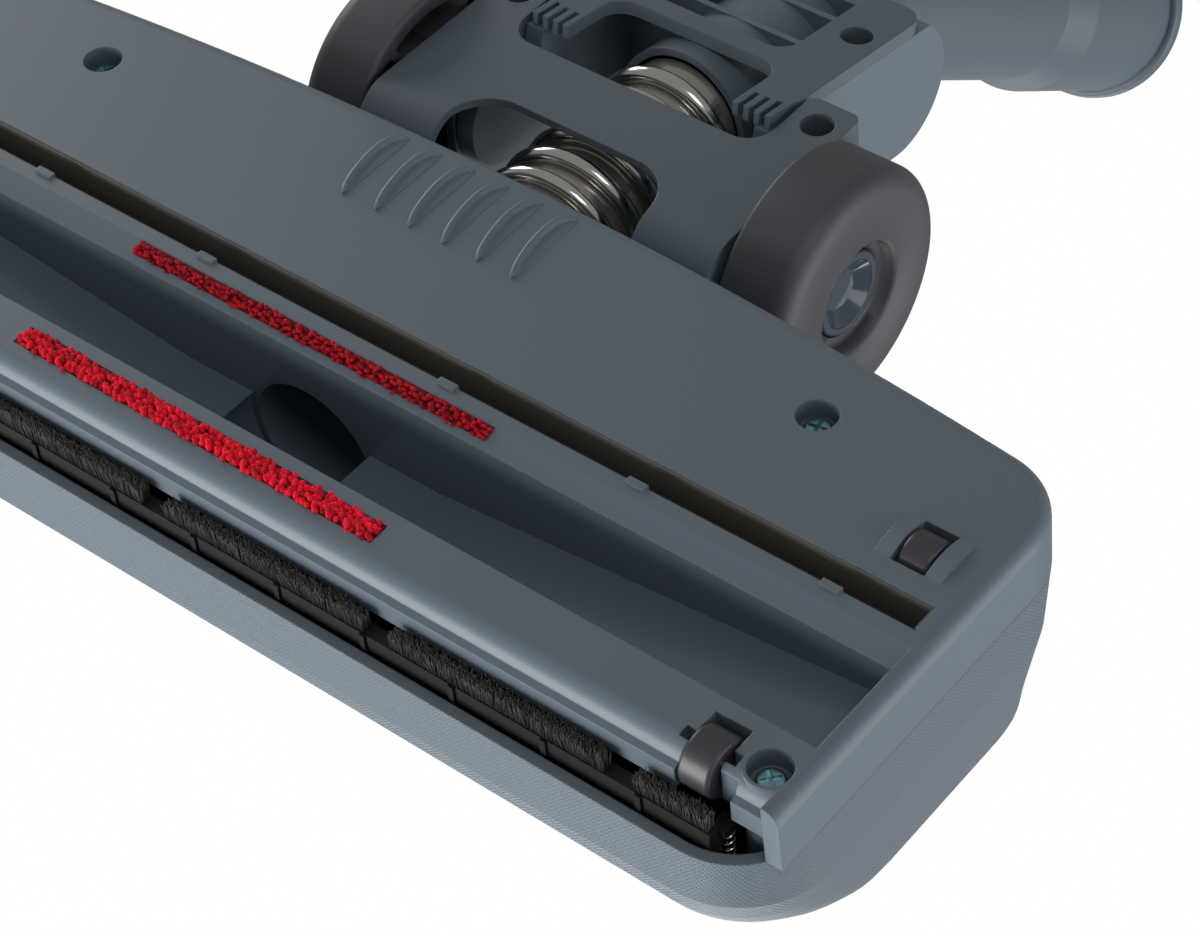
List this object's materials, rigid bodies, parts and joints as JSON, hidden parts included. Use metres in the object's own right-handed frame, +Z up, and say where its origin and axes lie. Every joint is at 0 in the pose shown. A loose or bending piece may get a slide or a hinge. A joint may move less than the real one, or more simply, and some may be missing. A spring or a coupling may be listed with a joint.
{
  "type": "vacuum floor brush head",
  "caption": "Wide vacuum floor head with a suction sole, pedal-lowered brush strips, rollers, a wheeled yoke and a hinged neck with a swivelling bent tube socket.",
  "frame": {"origin": "middle of the plan box, on the floor the rollers and wheels stand on", "axes": "+Z up, -Y the way the head is pushed, +X to the left of the person pushing it"},
  "size_m": [0.273, 0.3233, 0.1179],
  "materials": {
    "slate_shell": "satin moulded ABS",
    "dark_duct": "smooth moulded polypropylene",
    "black_carrier": "plain moulded polypropylene",
    "red_lint": "short one-way pile",
    "bristle": "nylon filament",
    "wiper": "soft moulded lip",
    "zinc_screw": "zinc plated",
    "steel_pin": "drawn steel",
    "spring_steel": "bright spring wire",
    "grey_roller": "smooth acetal",
    "wheel_grey": "matt soft-touch",
    "axle_plastic": "smooth acetal",
    "hose_film": "glossy thin skin"
  },
  "bodies": {
    "head": {"sole_plate": "slate_shell", "top_housing": "slate_shell", "suction_duct": "dark_duct", "front_thread_lifter": "red_lint", "rear_thread_lifter": "red_lint", "sole_screws": "zinc_screw", "slot_liner": "black_carrier", "front_roller_pins": "steel_pin", "rear_roller_pins": "steel_pin", "pedal_pin": "steel_pin", "carriage_springs": "spring_steel"},
    "carriage": {"brush_carriage": "black_carrier", "front_bristle_strip": "bristle", "rear_wiper_strip": "wiper"},
    "pedal": {"pedal": "slate_shell"},
    "front_left_roller": {"front_left_roller": "grey_roller"},
    "front_right_roller": {"front_right_roller": "grey_roller"},
    "rear_left_roller": {"rear_left_roller": "grey_roller"},
    "rear_right_roller": {"rear_right_roller": "grey_roller"},
    "yoke": {"yoke_lower": "slate_shell", "yoke_upper": "slate_shell", "yoke_screws": "zinc_screw", "left_axle": "axle_plastic", "right_axle": "axle_plastic", "hose": "hose_film", "hose_coil": "spring_steel"},
    "left_wheel": {"left_wheel": "wheel_grey"},
    "right_wheel": {"right_wheel": "wheel_grey"},
    "neck": {"neck_lower": "slate_shell", "neck_upper": "slate_shell", "neck_screws": "zinc_screw", "swivel_ring": "slate_shell"},
    "swivel": {"swivel_tube": "slate_shell"}
  },
  "joints": [
    {"name": "pedal_rock", "type": "hinge", "parent": "head", "child": "pedal", "pos_m": [0, -0.07999, 0.046], "axis": [1, 0, 0], "range_deg": [0, 14.7], "stiffness_Nm_per_rad": 0.1, "springref_deg": -8.59},
    {"name": "brush_slide", "type": "slide", "parent": "head", "child": "carriage", "axis": [0, 0, 1], "range_m": [-0.007, 0], "stiffness_N_per_m": 8, "springref_m": 0.025, "deforming": ["carriage_springs"]},
    {"name": "yoke_hinge", "type": "hinge", "parent": "head", "child": "yoke", "pos_m": [0, -0.06799, 0.027], "axis": [1, 0, 0], "range_deg": [0, 10], "deforming": ["hose", "hose_coil"]},
    {"name": "neck_hinge", "type": "hinge", "parent": "yoke", "child": "neck", "pos_m": [0, -0.02999, 0.0215], "axis": [1, 0, 0], "range_deg": [0, 50], "deforming": ["hose", "hose_coil"]},
    {"name": "tube_swivel", "type": "hinge", "parent": "neck", "child": "swivel", "pos_m": [0, -0.03022, 0.02298], "axis": [0, 0.9877, 0.1564], "range_deg": [-90, 90]},
    {"name": "front_left_roll", "type": "hinge", "parent": "head", "child": "front_left_roller", "pos_m": [0, -0.14829, 0.0055], "axis": [1, 0, 0], "continuous": true},
    {"name": "front_right_roll", "type": "hinge", "parent": "head", "child": "front_right_roller", "pos_m": [0, -0.14829, 0.0055], "axis": [1, 0, 0], "continuous": true},
    {"name": "rear_left_roll", "type": "hinge", "parent": "head", "child": "rear_left_roller", "pos_m": [0, -0.09449, 0.005], "axis": [1, 0, 0], "continuous": true},
    {"name": "rear_right_roll", "type": "hinge", "parent": "head", "child": "rear_right_roller", "pos_m": [0, -0.09449, 0.005], "axis": [1, 0, 0], "continuous": true},
    {"name": "left_wheel_spin", "type": "hinge", "parent": "yoke", "child": "left_wheel", "pos_m": [0, -0.03049, 0.026], "axis": [1, 0, 0], "continuous": true},
    {"name": "right_wheel_spin", "type": "hinge", "parent": "yoke", "child": "right_wheel", "pos_m": [0, -0.03049, 0.026], "axis": [1, 0, 0], "continuous": true}
  ],
  "couplings": [
    {"joint": "brush_slide", "follows": "pedal_rock", "m_per_rad": -0.0272}
  ]
}
